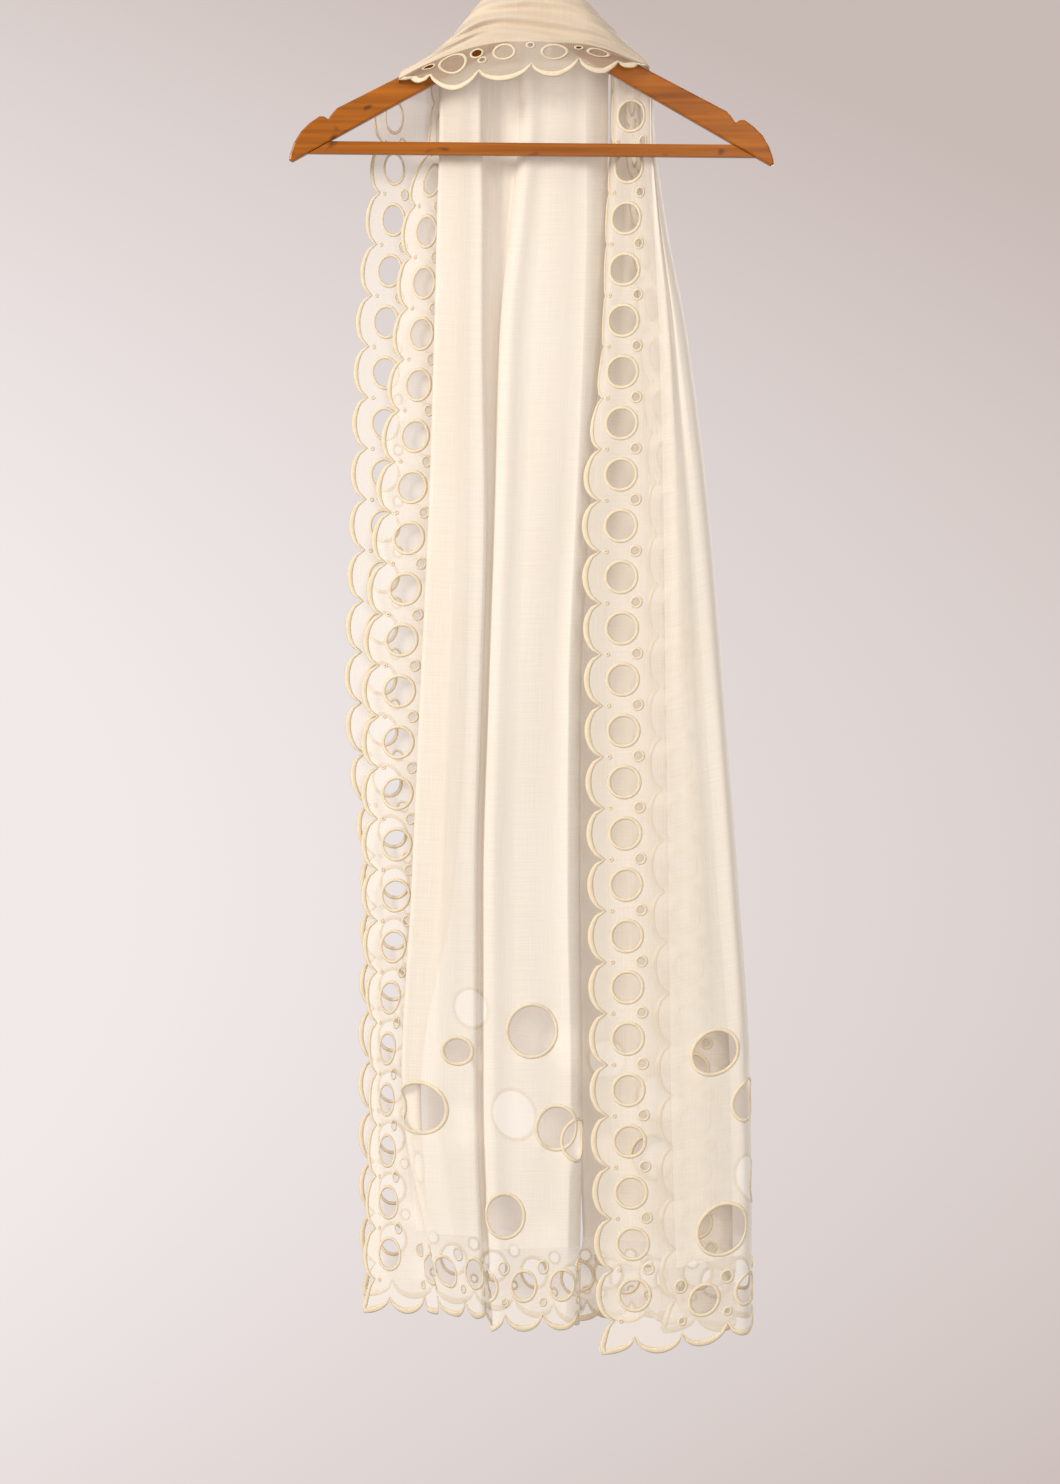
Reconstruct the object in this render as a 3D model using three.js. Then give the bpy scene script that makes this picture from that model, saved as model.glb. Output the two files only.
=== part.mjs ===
// A dupatta stole laid across the neck of a wooden hanger, both ends thrown back
// over the arms and hanging behind the cross bar. Millimetres, +Z up, +X to the
// right, -Y to the front. The origin is the inner top of the hook, where it hangs.
import * as THREE from "three";
import { mergeVertices } from "three/addons/utils/BufferGeometryUtils.js";

// hanger
const LEAN_DEG = 0.5; // the hanger leans down to its right about the hook
const BOARD_THICK = 12;
const HALF_SPAN = 222.5;
const UPPER_APEX_Z = -92, UPPER_SLOPE = 0.515; // top edges of the arms
const LOWER_APEX_Z = -110, LOWER_SLOPE = 0.563; // under edges of the arms
const NOTCH_X = 187, NOTCH_DEEP = 6, TIP_Z = -232;
const BAR_TOP_Z = -214.4, BAR_TALL = 11.5, BAR_THICK = 10;
const WIRE_R = 1.9, HOOK_R = 19; // HOOK_R is to the inside of the bend
const GAP = 0.3;

// cloth
const WALL = 1; // thickness of every cloth wall
const SCALLOP_PITCH = 47.2, SCALLOP_DEEP = 15, BORDER_WIDE = 60;
const HEM_PITCH = 43.6, HEM_TALL = 60, FIRST_CUSP = 20, CORNER_UP = 16;
const TOP_DEPTH = 8, TOP_SQUEEZE = 0.5; // the layers close up where they cross the arms

// Heights of the levels that the fold tables are given at; the last is the hem.
const LEVELS = [-190, -270, -390, -550, -720, -900, -1080, -1290];

// Each row is an edge or a fold line. x and y are its place across and in depth at
// each level, hem is the height of the cloth's lower cusp line there.
const LEFT_FOLDS = [
  { name: "outer edge", soft: 0, hem: -1262,
    x: [-149, -155, -166, -171, -176, -161, -163, -161], y: [36, 38, 42, 43, 44, 44, 42, 40] },
  { name: "outer seam", soft: 20, hem: -1266,
    x: [-100, -98, -104, -103, -106, -94, -98, -96], y: [40, 41, 42, 43, 43, 42, 42, 42] },
  { name: "back right low", soft: 14, hem: -1290,
    x: [78, 76, 68, 55, 46, 44, 47, 44], y: [40, 40, 41, 42, 42, 42, 42, 42] },
  { name: "front right", soft: 10, hem: -1291,
    x: [57, 58, 55, 48, 41, 40, 43, 39], y: [18, 18, 17, 17, 16, 16, 16, 17] },
  { name: "front left", soft: 4, hem: -1293,
    x: [-10, -18, -31, -37, -43, -48, -48, -40], y: [13, 12, 12, 11, 11, 11, 11, 13] },
  { name: "pleat right", soft: 3, hem: -1290,
    x: [-14, -21, -32, -37.5, -43, -48, -48, -39], y: [30, 30, 30, 29, 29, 28, 28, 27] },
  { name: "pleat left", soft: 3, hem: -1284,
    x: [-45, -43, -45, -43.5, -48, -53, -53, -45], y: [30, 30, 30, 29, 29, 28, 28, 27] },
  { name: "second right", soft: 4, hem: -1281,
    x: [-48, -46, -46, -44, -48.5, -53, -53, -46], y: [13, 13, 12, 11, 11, 11, 11, 13] },
  { name: "second left", soft: 5, hem: -1278,
    x: [-87, -89, -92, -97, -105, -113, -122, -80], y: [14, 13, 13, 13, 13, 13, 13, 14] },
  { name: "tuck front", soft: 5, hem: -1277,
    x: [-87, -89, -92, -97, -105, -113, -122, -86], y: [22, 22, 22, 22, 22, 21, 20, 14.5] },
  { name: "tuck back", soft: 5, hem: -1276,
    x: [-62, -60, -60, -60, -62, -74, -104, -92], y: [22.5, 22.5, 23, 23, 23, 22, 21, 15] },
  { name: "tuck low", soft: 4, hem: -1276,
    x: [-62, -60, -60, -60, -62, -74, -104, -96], y: [31, 31, 32, 32, 32, 31, 29, 15.5] },
  { name: "inner seam", soft: 3, hem: -1276,
    x: [-73, -73, -75, -78, -87, -93, -117, -103], y: [31, 31, 32, 32, 32, 31, 30.5, 16] },
  { name: "inner edge", soft: 0, hem: -1275.5,
    x: [-96, -120, -131, -148, -160, -160, -153, -159], y: [29, 30, 33, 34, 34, 34, 36, 19] },
];
const RIGHT_FOLDS = [
  { name: "front edge", soft: 0, hem: -1313,
    x: [72, 67, 63, 44, 46, 49, 51, 58], y: [27, 26, 22, 11, 9, 9, 9, 10] },
  { name: "front turn", soft: 6, hem: -1313,
    x: [75, 70, 66, 64, 66, 69, 71, 78], y: [13, 12, 11, 10, 9, 9, 9, 10] },
  { name: "ring line", soft: 10, hem: -1312,
    x: [105, 101, 98, 96, 98, 101, 103, 110], y: [12, 11, 10, 10, 9, 9, 9, 10] },
  { name: "front seam", soft: 12, hem: -1310,
    x: [107, 110, 115, 119, 121, 124, 126, 133], y: [13, 12, 11, 10, 10, 10, 10, 10] },
  { name: "front right", soft: 8, hem: -1296,
    x: [109, 118, 139, 158, 172, 185, 195, 197], y: [15, 14, 13, 13, 13, 14, 15, 16] },
  { name: "side", soft: 12, hem: -1288,
    x: [112, 121, 143, 163, 177, 191, 202, 204], y: [30, 30, 31, 32, 33, 33, 34, 34] },
  { name: "back right", soft: 10, hem: -1284,
    x: [108, 117, 138, 157, 171, 184, 194, 196], y: [51, 53, 55, 56, 56, 57, 57, 57] },
  { name: "back left", soft: 4, hem: -1285,
    x: [66, 60, 50, 40, 33, 32, 32, 38], y: [50, 51, 53, 54, 54, 54, 54, 54] },
  { name: "inside left", soft: 4, hem: -1286,
    x: [66, 60, 50, 40, 33, 32, 32, 38], y: [46, 46, 47, 48, 48, 48, 48, 48] },
  { name: "inside right", soft: 4, hem: -1292,
    x: [101, 110, 130, 148, 160, 172, 184, 187], y: [43, 43, 43, 43, 43, 43, 43, 43] },
  { name: "inside turn", soft: 4, hem: -1294,
    x: [101, 110, 130, 148, 160, 172, 184, 187], y: [34, 34, 34, 33, 33, 33, 33, 33] },
  { name: "back edge", soft: 0, hem: -1296,
    x: [84, 88, 96, 104, 104, 106, 112, 116], y: [33, 33, 32, 32, 32, 32, 32, 32] },
];

// Sections across the swag in front of the neck, one row for each place along X:
// cusp line of the hanging border, its seam, the belly, the ridge, then the back.
const SWAG = [
  { x: -124, low: [-12, -163], seam: [-15, -157], belly: [-14, -153], ridge: [0, -148],
    back: [36, -160], tail: [42, -172] },
  { x: -100, low: [-20, -153], seam: [-25, -146], belly: [-25, -141], ridge: [-4, -138],
    back: [36, -148], tail: [45, -160] },
  { x: -74, low: [-26, -156], seam: [-31, -136], belly: [-31, -126], ridge: [-6, -115.5],
    back: [30, -130], tail: [45, -149] },
  { x: -46, low: [-30, -150], seam: [-35, -129], belly: [-34, -106], ridge: [-8, -83],
    back: [24, -106], tail: [45, -142] },
  { x: -20, low: [-32, -147], seam: [-37, -126], belly: [-34, -94], ridge: [-9, -66],
    back: [14, -84], tail: [42, -136] },
  { x: -7, low: [-33, -146], seam: [-38, -126], belly: [-34, -90], ridge: [-9, -60],
    back: [7, -70], tail: [11, -76] },
  { x: 7, low: [-33, -146], seam: [-38, -126], belly: [-34, -90], ridge: [-9, -60],
    back: [7, -70], tail: [11, -76] },
  { x: 20, low: [-32, -144], seam: [-37, -127], belly: [-34, -93], ridge: [-9, -65],
    back: [14, -84], tail: [42, -134] },
  { x: 44, low: [-30, -140], seam: [-35, -128], belly: [-34, -104], ridge: [-8, -81],
    back: [26, -102], tail: [48, -134] },
  { x: 66, low: [-25, -141], seam: [-30, -132], belly: [-30, -117], ridge: [-6, -103],
    back: [32, -120], tail: [50, -137] },
  { x: 88, low: [-17, -142], seam: [-21, -139], belly: [-21, -132], ridge: [-3, -125],
    back: [40, -136], tail: [52, -148] },
  { x: 106, low: [-12, -147], seam: [-14, -145], belly: [-13, -143.5], ridge: [0, -139],
    back: [43, -149], tail: [52, -160] },
];

const lerp = (a, b, t) => a + (b - a) * t;
const mix = (p, q, t) => p.map((v, i) => lerp(v, q[i], t));
const cloth = (color) => new THREE.MeshStandardMaterial({ color, roughness: 0.72, metalness: 0 });
const CREAM = cloth(0xf1e4d3), EDGING = cloth(0xf7ead0);
const WOOD = new THREE.MeshStandardMaterial({ color: 0xb0682f, roughness: 0.4, metalness: 0 });
const STEEL = new THREE.MeshStandardMaterial({ color: 0xc9ccd0, roughness: 0.25, metalness: 1 });

const group = new THREE.Group();
function add(name, geometry, material) {
  const mesh = new THREE.Mesh(geometry, material);
  mesh.name = name;
  group.add(mesh);
  return mesh;
}

// 0 at a cusp, 1 at the fullest of a scallop, with t counted in scallops
const bow = (t) => Math.sqrt(Math.max(0, Math.sin(Math.PI * (t - Math.floor(t)))));

// A closed wall from a grid of points on the cloth's middle surface: rows[j][i].
function wall(rows) {
  const nj = rows.length, ni = rows[0].length;
  const at = (j, i) => new THREE.Vector3(...rows[Math.min(nj - 1, Math.max(0, j))][
    Math.min(ni - 1, Math.max(0, i))]);
  const front = [], back = [];
  for (let j = 0; j < nj; j++)
    for (let i = 0; i < ni; i++) {
      const across = at(j, i + 1).sub(at(j, i - 1));
      const along = at(j + 1, i).sub(at(j - 1, i));
      const n = across.cross(along).normalize().multiplyScalar(WALL / 2);
      front.push(at(j, i).add(n));
      back.push(at(j, i).sub(n));
    }
  const points = [...front, ...back], N = nj * ni, index = [];
  const quad = (a, b, c, d) => index.push(a, b, c, a, c, d);
  for (let j = 0; j + 1 < nj; j++)
    for (let i = 0; i + 1 < ni; i++) {
      const a = j * ni + i;
      quad(a, a + 1, a + ni + 1, a + ni);
      quad(N + a, N + a + ni, N + a + ni + 1, N + a + 1);
    }
  const rim = (a, b) => quad(a, a + N, b + N, b);
  for (let i = 0; i + 1 < ni; i++) {
    rim(i, i + 1);
    rim((nj - 1) * ni + i + 1, (nj - 1) * ni + i);
  }
  for (let j = 0; j + 1 < nj; j++) {
    rim((j + 1) * ni, j * ni);
    rim(j * ni + ni - 1, (j + 1) * ni + ni - 1);
  }
  const g = new THREE.BufferGeometry();
  g.setAttribute("position", new THREE.Float32BufferAttribute(
    points.flatMap((p) => [p.x, p.y, p.z]), 3));
  g.setIndex(index);
  return g;
}

// The path through a level's fold points, with soft corners, as a list of stops:
// each stop keeps the fold it belongs to, so that all levels have the same stops.
function pathAt(nodes, steps) {
  const out = [];
  nodes.forEach((node, k) => {
    if (k === 0 || k === nodes.length - 1) return out.push(node.p);
    const prev = nodes[k - 1].p, next = nodes[k + 1].p;
    const reach = (q) => {
      const d = Math.hypot(q[0] - node.p[0], q[1] - node.p[1]);
      return Math.min(node.soft, 0.42 * d) / Math.max(d, 1e-6);
    };
    const a = mix(node.p, prev, reach(prev)), b = mix(node.p, next, reach(next));
    for (let s = 0; s <= steps; s++) {
      const t = s / steps;
      out.push(mix(mix(a, node.p, t), mix(node.p, b, t), t));
    }
  });
  return out;
}

const armTop = (x) => UPPER_APEX_Z - UPPER_SLOPE * Math.abs(x);

// One fall as rows of points from its top behind the arms down to its cusp line.
// The last rows are the seam of the hem and the cusp line itself.
function fallRows(folds) {
  const level = (k) => folds.map((f) => ({ p: [f.x[k], f.y[k], LEVELS[k]], soft: f.soft }));
  const last = LEVELS.length - 1;
  const top = folds.map((f) => ({ soft: f.soft, p: [f.x[0],
    TOP_DEPTH + (f.y[0] - TOP_DEPTH) * TOP_SQUEEZE + 2, armTop(f.x[0]) - 4] }));
  const hem = folds.map((f) => ({ soft: f.soft, p: [f.x[last], f.y[last], f.hem] }));
  const before = level(last - 1);
  const seam = hem.map((h, i) => {
    const z = h.p[2] + HEM_TALL, t = (z - before[i].p[2]) / (h.p[2] - before[i].p[2]);
    return { soft: h.soft, p: [lerp(before[i].p[0], h.p[0], t), lerp(before[i].p[1], h.p[1], t), z] };
  });
  const rows = [top];
  for (let k = 0; k < last; k++) rows.push(level(k));
  rows.push(seam, hem);
  return rows.map((nodes) => pathAt(nodes, 2));
}

// Rows between the fall's own rows, cut down to the columns from i0 to i1, with
// the gap of a seam left at each end that has one.
function between(rows, t) {
  const k = Math.min(rows.length - 2, Math.floor(t));
  return rows[k].map((p, i) => mix(p, rows[k + 1][i], t - k));
}
function pulled(row, i0, i1, gap0, gap1) {
  const cut = row.slice(i0, i1 + 1).map((p) => [...p]);
  const inset = (a, b, gap) => {
    const d = Math.hypot(b[0] - a[0], b[1] - a[1], b[2] - a[2]);
    return mix(a, b, Math.min(0.4, gap / Math.max(d, 1e-6)));
  };
  if (gap0) cut[0] = inset(cut[0], cut[1], gap0);
  if (gap1) cut[cut.length - 1] = inset(cut[cut.length - 1], cut[cut.length - 2], gap1);
  return cut;
}

// A border down a free edge. The edge column runs out and in by the scallops, and
// the height of each cusp is counted up from the hem.
function sideBorder(name, rows, columns, stepsEach) {
  const [edge, seam] = columns; // edge column and seam column of the fall
  const sign = Math.sign(seam - edge), out = [];
  const hemRow = rows.length - 1;
  const total = rows[hemRow][edge][2];
  const stops = [0];
  const heights = rows.map((r) => r[edge][2]);
  for (let s = Math.ceil((heights[0] - total) / SCALLOP_PITCH * stepsEach); s >= 0; s--) {
    const z = total + CORNER_UP + (s / stepsEach) * SCALLOP_PITCH;
    if (z < heights[0] - 2) stops.push(z);
  }
  const heightOf = (t) => between(heights.map((h) => [[0, 0, h]]), t)[0][2];
  const tOf = (z) => {
    for (let k = 0; k < hemRow; k++)
      if (z <= heights[k] && z >= heights[k + 1])
        return k + (heights[k] - z) / (heights[k] - heights[k + 1]);
    return hemRow;
  };
  const ts = stops.slice(1).map(tOf);
  const all = [...new Set([0, ...rows.map((_, k) => k), ...ts])].sort((a, b) => a - b);
  const kept = all.filter((t, i) => i === 0 || t - all[i - 1] > 0.02);
  for (const t of kept) {
    const row = between(rows, t);
    const lo = Math.min(edge, seam), hi = Math.max(edge, seam);
    const line = row.slice(lo, hi + 1);
    if (sign < 0) line.reverse();
    const phase = (heightOf(t) - total - CORNER_UP) / SCALLOP_PITCH;
    const inner = SCALLOP_DEEP * (1 - (phase < 0 ? 0.75 : bow(phase)));
    const start = line[0], end = line[line.length - 1];
    const width = Math.hypot(end[0] - start[0], end[1] - start[1]);
    const k = inner / (BORDER_WIDE + SCALLOP_DEEP);
    const from = k, to = 1 - GAP / width;
    const cut = [0, 0.33, 0.66, 1].map((s) => along(line, lerp(from, to, s)));
    out.push(sign < 0 ? cut.reverse() : cut);
  }
  const tip = out[out.length - 1].map((p) => [...p]);
  const drop = [0.85, 0.1, 0.95, 0.35];
  tip.forEach((p, i) => { p[2] -= SCALLOP_DEEP * drop[sign < 0 ? 3 - i : i]; });
  out.push(tip);
  add(name, wall(out), EDGING);
}
function along(line, t) {
  const d = [0];
  for (let i = 1; i < line.length; i++)
    d.push(d[i - 1] + Math.hypot(...line[i].map((v, k) => v - line[i - 1][k])));
  const want = t * d[d.length - 1];
  let i = 1;
  while (i < d.length - 1 && d[i] < want) i++;
  return mix(line[i - 1], line[i], (want - d[i - 1]) / Math.max(1e-9, d[i] - d[i - 1]));
}

// The field between the two borders, and the hem's border under it.
function field(name, rows, i0, i1) {
  const out = [];
  for (let k = 0; k < rows.length - 1; k++) {
    out.push(pulled(rows[k], i0, i1, GAP / 2, GAP / 2));
    if (k === 1) out.push(pulled(between(rows, 1.5), i0, i1, GAP / 2, GAP / 2));
  }
  const end = out.length - 1;
  out[end] = out[end].map((p) => [p[0], p[1], p[2] + GAP / 2]);
  add(name, wall(out), CREAM);
}
function hemBorder(name, rows, i0, i1) {
  const seam = pulled(rows[rows.length - 2], i0, i1, GAP, GAP);
  const cusp = pulled(rows[rows.length - 1], i0, i1, GAP * 2, GAP * 2);
  const s = [], z = [];
  let run = BORDER_WIDE - FIRST_CUSP;
  for (let i = 0; i < seam.length; i++) {
    const parts = i ? Math.max(1, Math.ceil(Math.hypot(cusp[i][0] - cusp[i - 1][0],
      cusp[i][1] - cusp[i - 1][1]) / 11)) : 1;
    const from = Math.max(0, i - 1);
    const step = Math.hypot(cusp[i][0] - cusp[from][0], cusp[i][1] - cusp[from][1]) / parts;
    for (let k = 1; k <= parts; k++) {
      run += step;
      const a = mix(seam[from], seam[i], k / parts), b = mix(cusp[from], cusp[i], k / parts);
      s.push([a[0], a[1], a[2] - GAP / 2]);
      z.push([b[0], b[1], b[2] - SCALLOP_DEEP * bow(run / HEM_PITCH)]);
    }
  }
  add(name, wall([s, s.map((p, i) => mix(p, z[i], 0.5)), z]), EDGING);
}

function fall(prefix, folds, seamIn, seamOut, names) {
  const rows = fallRows(folds);
  const column = (k) => 1 + (k - 1) * 3 + 1; // middle stop of fold k
  const i0 = column(seamIn), i1 = seamOut === null ? rows[0].length - 1 : column(seamOut);
  sideBorder(names[0], rows, [0, i0], 4);
  if (names[1]) sideBorder(names[1], rows, [rows[0].length - 1, i1], 4);
  field(prefix + "_field", rows, i0, i1);
  hemBorder(prefix + "_hem_border", rows, i0, i1);
}

function swag() {
  const pick = (r, key) => [r.x, ...r[key]];
  const section = (r) => ["low", "seam", "belly", "ridge", "back", "tail"].map((k) => pick(r, k));
  const fine = [];
  const step = 11.8;
  for (let x = SWAG[0].x; x <= SWAG[SWAG.length - 1].x + 1e-6; x += step) fine.push(x);
  const at = (x) => {
    let k = 1;
    while (k < SWAG.length - 1 && SWAG[k].x < x) k++;
    const t = (x - SWAG[k - 1].x) / (SWAG[k].x - SWAG[k - 1].x);
    return section(SWAG[k - 1]).map((p, i) => mix(p, section(SWAG[k])[i], t));
  };
  const down = (p, d) => [p[0], p[1], p[2] - d];
  const scallop = (x) => SCALLOP_DEEP * 0.9 * bow((x + 96) / SCALLOP_PITCH)
    * Math.min(1, (x + 124) / 26, (106 - x) / 30);
  const border = fine.map((x) => {
    const [low, seam] = at(x);
    const foot = down(low, Math.max(0, scallop(x)));
    return [mix(seam, foot, 0.08), mix(seam, foot, 0.5), foot];
  });
  add("swag_front_border", wall(border.map((c) => c.reverse())), EDGING);
  const face = fine.map((x) => {
    const [, seam, belly, ridge] = at(x);
    const crown = [ridge[0], ridge[1] - 6, ridge[2] - 3];
    return [mix(seam, belly, 0.12), mix(seam, belly, 0.5), belly, mix(belly, crown, 0.5), crown, ridge];
  });
  add("swag_front", wall(face), CREAM);
  const shoulder = (name, from, to) => {
    const xs = SWAG.map((r) => r.x).filter((x) => x >= from && x <= to);
    add(name, wall(xs.map((x) => {
      const [, , , ridge, back, tail] = at(x);
      const start = [ridge[0], ridge[1] + 0.9, ridge[2] + 0.1];
      const lift = mix(start, back, 0.4);
      lift[2] += 5;
      return [tail, mix(back, tail, 0.5), back, lift, start];
    })), CREAM);
  };
  shoulder("swag_left_shoulder", -125, -6);
  shoulder("swag_right_shoulder", 6, 107);
}

function board(points, thick, bevel) {
  const shape = new THREE.Shape(points.map(([x, z]) => new THREE.Vector2(x, z)));
  const g = new THREE.ExtrudeGeometry(shape, { depth: thick - 2 * bevel, bevelEnabled: bevel > 0,
    bevelSize: bevel, bevelThickness: bevel, bevelOffset: -bevel, bevelSegments: 2, steps: 1 });
  g.translate(0, 0, -(thick - 2 * bevel) / 2);
  g.rotateX(Math.PI / 2);
  return g;
}
function closed(g) {
  const clean = g.clone();
  clean.deleteAttribute("normal");
  clean.deleteAttribute("uv");
  return mergeVertices(clean, 1e-4);
}

function hanger() {
  const lean = new THREE.Group();
  lean.rotation.y = THREE.MathUtils.degToRad(LEAN_DEG);
  group.add(lean);
  const under = (x) => LOWER_APEX_Z - LOWER_SLOPE * x;
  const half = [ // right half of the outline, from the neck out to the tip and back
    [9, -83], [14, -86], [19, -96], [28, armTop(28)], [NOTCH_X - 8, armTop(NOTCH_X - 8)],
    [NOTCH_X - 4, armTop(NOTCH_X - 4) - 2.5], [NOTCH_X, armTop(NOTCH_X) - NOTCH_DEEP],
    [NOTCH_X + 3.5, armTop(NOTCH_X) - NOTCH_DEEP + 2.4], [NOTCH_X + 8, armTop(NOTCH_X) - 3.4],
    [NOTCH_X + 17, -198], [NOTCH_X + 25, -206], [NOTCH_X + 31, -216], [HALF_SPAN - 1, -226],
    [HALF_SPAN, TIP_Z], [HALF_SPAN - 3, TIP_Z - 1.5], [206.7, under(206.7)],
    [100, under(100)], [24, under(24) + 0.4], [12, -115],
  ];
  const outline = [...half, ...half.map(([x, z]) => [-x, z]).reverse()];
  const yoke = new THREE.Mesh(closed(board(outline, BOARD_THICK, 1.6)), WOOD);
  yoke.name = "hanger_yoke";
  const inner = (z) => (LOWER_APEX_Z - z) / LOWER_SLOPE - 0.45;
  const low = BAR_TOP_Z - BAR_TALL;
  const barLine = [[-inner(BAR_TOP_Z), BAR_TOP_Z], [inner(BAR_TOP_Z), BAR_TOP_Z],
    [inner(low), low], [-inner(low), low]];
  const bar = new THREE.Mesh(closed(board(barLine, BAR_THICK, 1.2)), WOOD);
  bar.name = "hanger_bar";
  const R = HOOK_R + WIRE_R, turn = [];
  turn.push(new THREE.Vector3(0, 0, -82.7), new THREE.Vector3(0, 0, -66),
    new THREE.Vector3(0.4, 0, -56), new THREE.Vector3(6, 0, -45.5));
  for (let a = -40; a <= 215; a += 15) {
    const t = THREE.MathUtils.degToRad(a);
    turn.push(new THREE.Vector3(R * Math.cos(t), 0, -HOOK_R + R * Math.sin(t)));
  }
  const path = new THREE.CatmullRomCurve3(turn, false, "centripetal");
  const ring = new THREE.Shape(Array.from({ length: 10 }, (_, i) => new THREE.Vector2(
    WIRE_R * Math.cos(i * Math.PI / 5), WIRE_R * Math.sin(i * Math.PI / 5))));
  const wire = new THREE.ExtrudeGeometry(ring, { steps: 44, bevelEnabled: false, extrudePath: path });
  const hook = new THREE.Mesh(closed(wire), STEEL);
  hook.name = "hook";
  lean.add(yoke, bar, hook);
}

hanger();
fall("left", LEFT_FOLDS, 1, 12, ["left_border_outer", "left_border_inner"]);
fall("right", RIGHT_FOLDS, 3, null, ["right_border_front", null]);
swag();

export default group;
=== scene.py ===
"""Looks of a dupatta stole laid across the neck of a wooden hanger: sheer organza with
scalloped cut-work borders, satin-stitched rings and edges, varnished wood, steel hook."""

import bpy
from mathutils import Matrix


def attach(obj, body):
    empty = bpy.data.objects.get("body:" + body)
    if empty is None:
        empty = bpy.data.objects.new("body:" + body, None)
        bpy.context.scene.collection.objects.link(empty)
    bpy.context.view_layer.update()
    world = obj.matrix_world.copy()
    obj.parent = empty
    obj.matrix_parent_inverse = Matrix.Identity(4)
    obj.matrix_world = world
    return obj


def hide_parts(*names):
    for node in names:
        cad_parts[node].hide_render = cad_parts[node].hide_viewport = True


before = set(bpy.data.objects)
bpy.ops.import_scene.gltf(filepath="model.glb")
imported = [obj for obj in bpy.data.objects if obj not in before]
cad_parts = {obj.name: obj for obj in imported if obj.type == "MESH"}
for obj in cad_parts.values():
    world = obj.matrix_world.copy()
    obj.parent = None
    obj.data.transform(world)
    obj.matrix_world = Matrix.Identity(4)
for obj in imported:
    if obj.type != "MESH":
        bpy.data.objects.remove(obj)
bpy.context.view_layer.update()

import math

import bpy
import numpy as np
from bpy.props import FloatProperty, FloatVectorProperty, IntProperty, PointerProperty
from mathutils import Vector
from mathutils.geometry import delaunay_2d_cdt

bl_info = {
    "name": "Scalloped Stole on a Hanger",
    "version": (1, 0, 0),
    "blender": (4, 2, 0),
    "location": "View3D > Sidebar > Stole",
    "description": "Builds a sheer cut-work stole hanging on a wooden hanger",
    "category": "Object",
}

MM = 0.001
# Sizes of the cut cloth in millimetres. Places on it are u, across from the cusp line of
# one long edge, and v, up from the cusp line of the hem.
WIDE = 563.0  # between the cusp lines of the two long edges
PITCH, DEEP, BORDER = 47.2, 15.0, 60.0  # side scallops' pitch and depth, border's width
HEM_PITCH, HEM_BORDER = 43.6, 62.0
FIRST_CUSP, CORNER_UP = 20.0, 16.0  # first cusps along the hem and up the long edge
CORNER_OUT, CORNER_DROP = 11.0, 15.0  # the rounded corner's reach past the cusp lines
SIDE_RING, SIDE_RING_R = 21.0, 16.0  # place across and radius of a long edge's big rings
HOLE_INSET = 1.35  # a ring's hole is this much smaller than its stitches' outer radius
BIG_BAND, SMALL_BAND, EYE_BAND, FIELD_BAND = 3.3, 2.3, 1.7, 3.4  # widths of the stitching
RING_HIGH, EDGE_HIGH = 0.8, 0.85  # heights of the stitching on each face
ARM_TOP, ARM_FALL = -92.0, 0.515  # the hanger's arms: height at the neck, drop a side

# Heights at which the folds are given, below the hook's seat; the hem is the last.
LEVELS = [-190, -270, -390, -550, -720, -900, -1080]

# Edges and fold lines of each fall: softness, hem height, flat place across (or None
# to share out the cloth evenly), then x and depth y at each level and at the hem.
LEFT_FOLDS = [
    ("outer edge", 0, -1262, -DEEP, [-149, -155, -166, -171, -176, -161, -163, -161],
     [36, 38, 42, 43, 44, 44, 42, 40]),
    ("outer seam", 20, -1266, BORDER, [-100, -98, -104, -103, -106, -94, -98, -96],
     [40, 41, 42, 43, 43, 42, 42, 42]),
    ("back right low", 14, -1290, None, [78, 76, 68, 55, 46, 44, 47, 44],
     [40, 40, 41, 42, 42, 42, 42, 42]),
    ("front right", 10, -1291, None, [57, 58, 55, 48, 41, 40, 43, 39],
     [18, 18, 17, 17, 16, 16, 16, 17]),
    ("front left", 4, -1293, None, [-10, -18, -31, -37, -43, -48, -48, -40],
     [13, 12, 12, 11, 11, 11, 11, 13]),
    ("pleat right", 3, -1290, None, [-14, -21, -32, -37.5, -43, -48, -48, -39],
     [30, 30, 30, 29, 29, 28, 28, 27]),
    ("pleat left", 3, -1284, None, [-45, -43, -45, -43.5, -48, -53, -53, -45],
     [30, 30, 30, 29, 29, 28, 28, 27]),
    ("second right", 4, -1281, None, [-48, -46, -46, -44, -48.5, -53, -53, -46],
     [13, 13, 12, 11, 11, 11, 11, 13]),
    ("second left", 5, -1278, None, [-87, -89, -92, -97, -105, -113, -122, -80],
     [14, 13, 13, 13, 13, 13, 13, 14]),
    ("tuck front", 5, -1277, None, [-87, -89, -92, -97, -105, -113, -122, -86],
     [22, 22, 22, 22, 22, 21, 20, 14.5]),
    ("tuck back", 5, -1276, None, [-62, -60, -60, -60, -62, -74, -104, -92],
     [22.5, 22.5, 23, 23, 23, 22, 21, 15]),
    ("tuck low", 4, -1276, None, [-62, -60, -60, -60, -62, -74, -104, -96],
     [31, 31, 32, 32, 32, 31, 29, 15.5]),
    ("inner seam", 3, -1276, WIDE - BORDER, [-73, -73, -75, -78, -87, -93, -117, -103],
     [31, 31, 32, 32, 32, 31, 30.5, 16]),
    ("inner edge", 0, -1275.5, WIDE + DEEP, [-96, -120, -131, -148, -160, -160, -153, -159],
     [29, 30, 33, 34, 34, 34, 36, 19]),
]
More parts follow.
